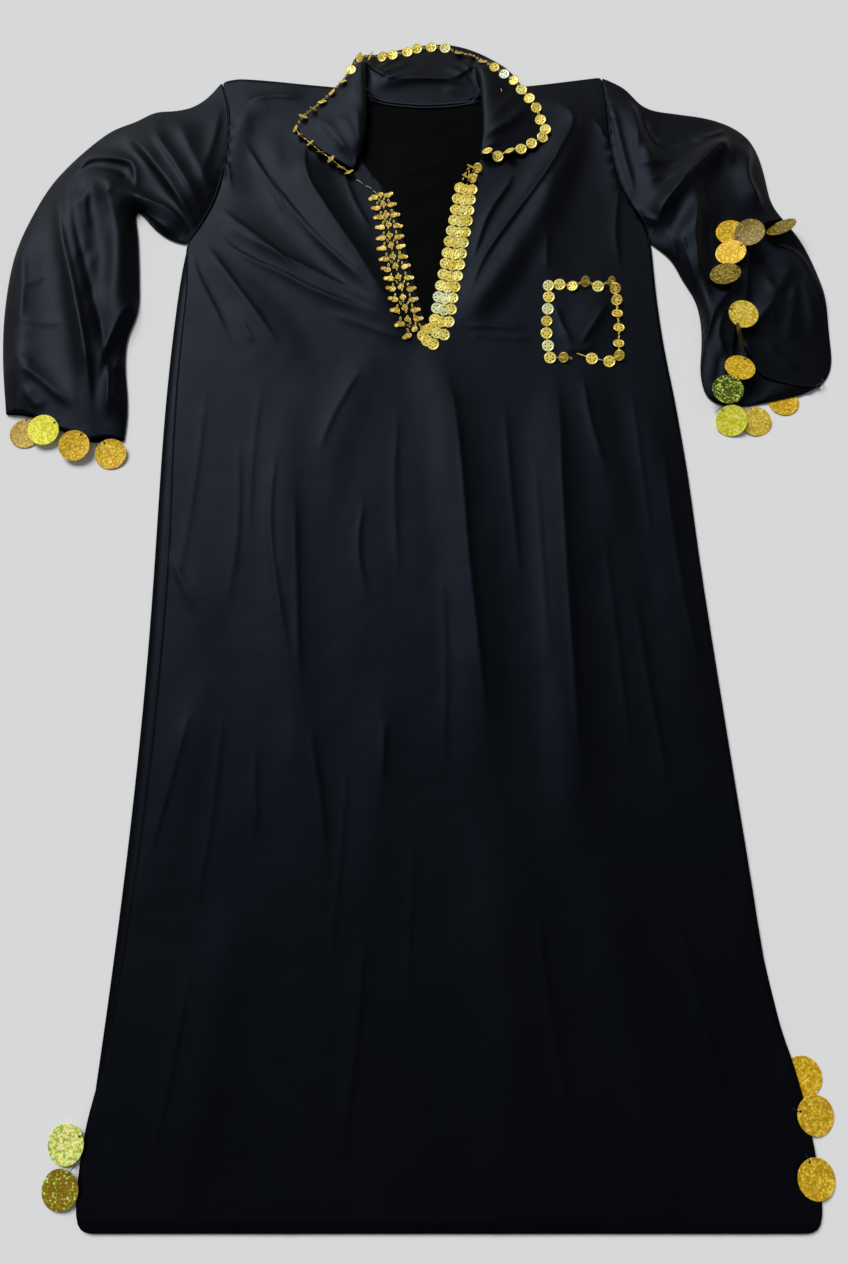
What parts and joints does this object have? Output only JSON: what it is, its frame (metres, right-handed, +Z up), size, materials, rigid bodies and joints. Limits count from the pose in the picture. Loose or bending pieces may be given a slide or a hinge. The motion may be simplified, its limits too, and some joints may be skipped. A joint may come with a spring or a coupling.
{
  "type": "galabeya laid flat",
  "caption": "Full-length dark stretch-cloth robe with wide pointed collar, neck slit and long sleeves, edged with strings of gold coins, laid flat on its back.",
  "frame": {"origin": "middle of the garment's outline, on the surface that it lies on", "axes": "+X to the wearer's left, +Y from hem to neck, +Z up out of the front"},
  "size_m": [1.025, 1.4366, 0.0328],
  "materials": {
    "cloth": "near-black navy stretch jersey with a soft satin sheen",
    "small_coins": "thin pressed gold-coloured coins on fine links",
    "large_discs": "thin gold holographic plastic discs with a crackled sparkle"
  },
  "bodies": {
    "root": {"front_panel": "cloth", "back_panel": "cloth", "sleeve_wearer_right": "cloth", "sleeve_wearer_left": "cloth", "collar": "cloth", "coin_trim_collar": "small_coins", "coin_trim_slit_wearer_right": "small_coins", "coin_trim_slit_wearer_left": "small_coins", "coin_trim_chest": "small_coins", "cuff_disc_wearer_right_1": "large_discs", "cuff_disc_wearer_right_2": "large_discs", "cuff_disc_wearer_right_3": "large_discs", "cuff_disc_wearer_right_4": "large_discs", "cuff_disc_wearer_left_1": "large_discs", "cuff_disc_wearer_left_2": "large_discs", "cuff_disc_wearer_left_3": "large_discs", "cuff_disc_wearer_left_4": "large_discs", "cuff_disc_wearer_left_5": "large_discs", "cuff_disc_wearer_left_6": "large_discs", "cuff_disc_wearer_left_7": "large_discs", "cuff_disc_wearer_left_8": "large_discs", "cuff_disc_wearer_left_9": "large_discs", "cuff_disc_wearer_left_10": "large_discs", "cuff_disc_wearer_left_11": "large_discs", "cuff_disc_wearer_left_12": "large_discs", "hem_disc_wearer_right_1": "large_discs", "hem_disc_wearer_right_2": "large_discs", "hem_disc_wearer_left_1": "large_discs", "hem_disc_wearer_left_2": "large_discs", "hem_disc_wearer_left_3": "large_discs"}
  },
  "joints": []
}
